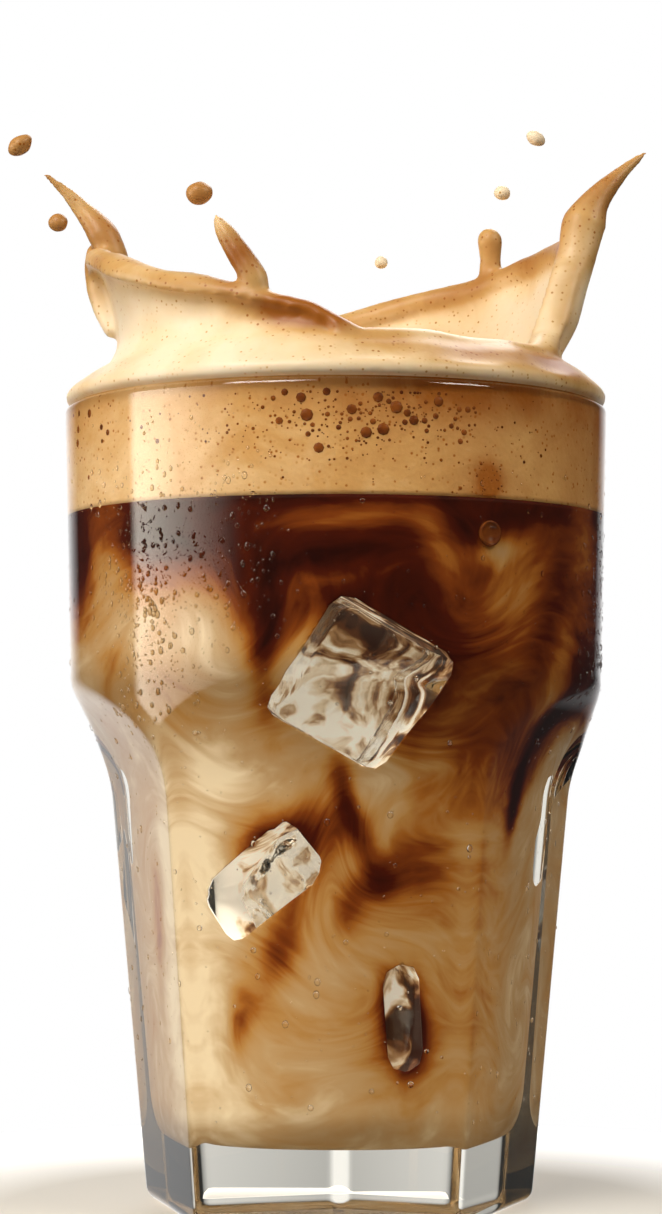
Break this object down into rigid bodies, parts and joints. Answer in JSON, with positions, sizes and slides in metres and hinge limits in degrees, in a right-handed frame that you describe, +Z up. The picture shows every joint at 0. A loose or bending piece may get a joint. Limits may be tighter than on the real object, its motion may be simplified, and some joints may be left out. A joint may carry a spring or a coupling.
{
  "type": "iced latte",
  "caption": "Clear pressed tumbler with a round band over flat facets, filled with milk under dark coffee and a thick foam head that rises in a splash crown with horns.",
  "frame": {"origin": "centre of the glass's underside", "axes": "+X to the right, -Y towards the front, +Z up the glass's axis"},
  "size_m": [0.0998, 0.0888, 0.173],
  "materials": {
    "glass": "clear pressed",
    "milk": "milk clouded with coffee",
    "coffee": "dark cold coffee",
    "foam": "milk and coffee foam"
  },
  "bodies": {
    "root": {"glass": "glass", "milk": "milk", "coffee": "coffee", "foam": "foam"}
  },
  "joints": []
}
